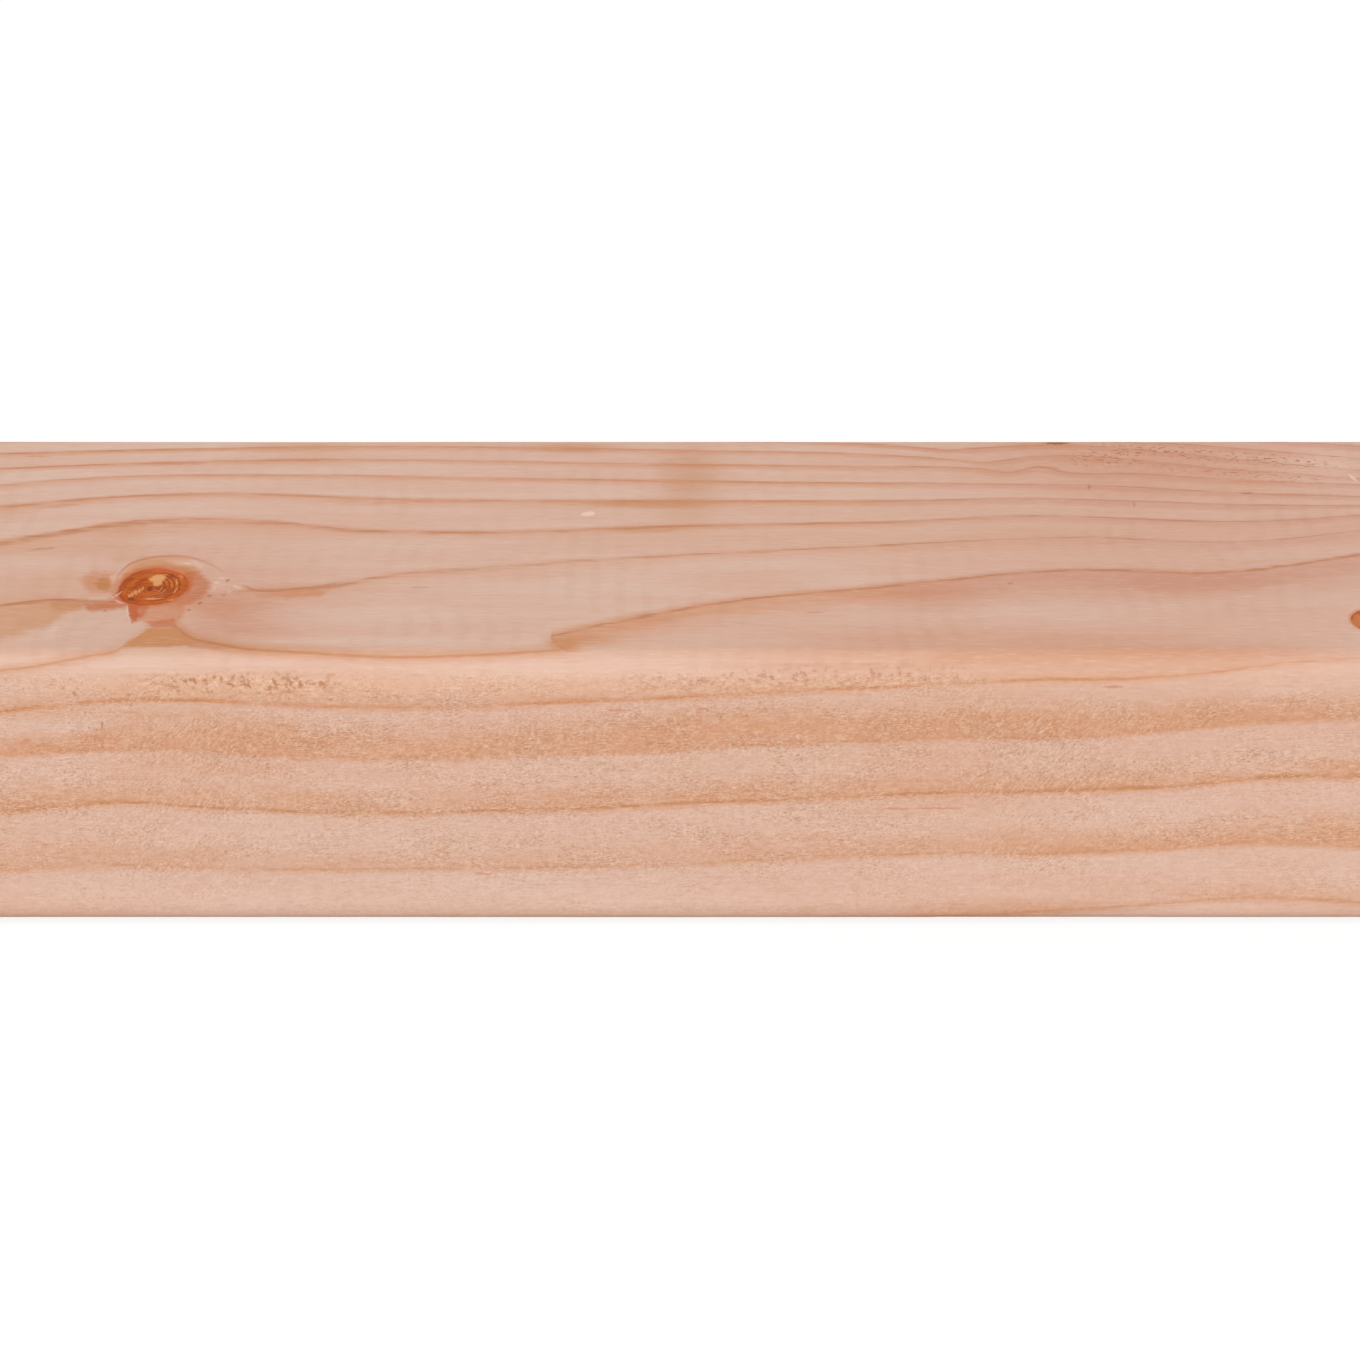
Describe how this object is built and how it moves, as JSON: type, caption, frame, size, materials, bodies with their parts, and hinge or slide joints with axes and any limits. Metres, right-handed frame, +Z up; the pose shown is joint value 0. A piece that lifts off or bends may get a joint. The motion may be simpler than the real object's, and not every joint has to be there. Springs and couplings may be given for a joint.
{
  "type": "timber plank",
  "caption": "Straight rectangular softwood plank with eased long edges and square-cut ends, stock for framing, benches, shelves and boarding.",
  "frame": {"origin": "middle of the underside, on the surface that the plank lies on", "axes": "+X along the grain, +Y from the front edge to the back edge, +Z up out of the top face"},
  "size_m": [1.219, 0.089, 0.038],
  "materials": {
    "bare_softwood": "bare planed softwood, unsealed"
  },
  "bodies": {
    "root": {"plank": "bare_softwood"}
  },
  "joints": []
}
